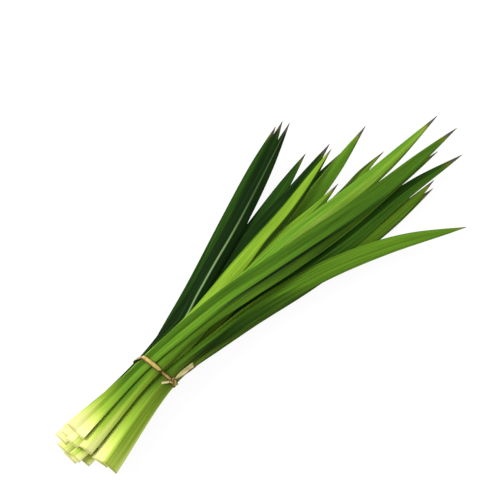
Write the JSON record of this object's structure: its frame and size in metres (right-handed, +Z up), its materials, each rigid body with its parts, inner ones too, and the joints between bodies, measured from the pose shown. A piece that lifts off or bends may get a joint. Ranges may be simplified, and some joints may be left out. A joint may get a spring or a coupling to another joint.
{
  "type": "pandan leaf bunch",
  "caption": "Bunch of long keeled pandan leaves, tied near the cut ends with a strip of raffia and fanning out to pointed tips, lying on a flat surface.",
  "frame": {"origin": "on the surface, under the middle of the bunch's box", "axes": "+X along the leaves from the cut ends to the tips, +Y towards the bunch's left side seen from above, +Z up"},
  "size_m": [0.4992, 0.2066, 0.0348],
  "materials": {
    "leaf_young": "satin",
    "leaf_mature": "satin",
    "leaf_dark": "satin",
    "raffia": "satin"
  },
  "bodies": {
    "root": {"leaf_01": "leaf_dark", "leaf_02": "leaf_dark", "leaf_03": "leaf_dark", "leaf_04": "leaf_dark", "leaf_05": "leaf_dark", "leaf_06": "leaf_mature", "leaf_07": "leaf_dark", "leaf_08": "leaf_dark", "leaf_09": "leaf_mature", "leaf_10": "leaf_dark", "leaf_11": "leaf_mature", "leaf_12": "leaf_dark", "leaf_13": "leaf_mature", "leaf_14": "leaf_dark", "leaf_15": "leaf_dark", "leaf_16": "leaf_mature", "leaf_17": "leaf_mature", "leaf_18": "leaf_young", "leaf_19": "leaf_young", "leaf_20": "leaf_mature", "leaf_21": "leaf_mature", "leaf_22": "leaf_mature", "raffia_tie": "raffia"}
  },
  "joints": []
}
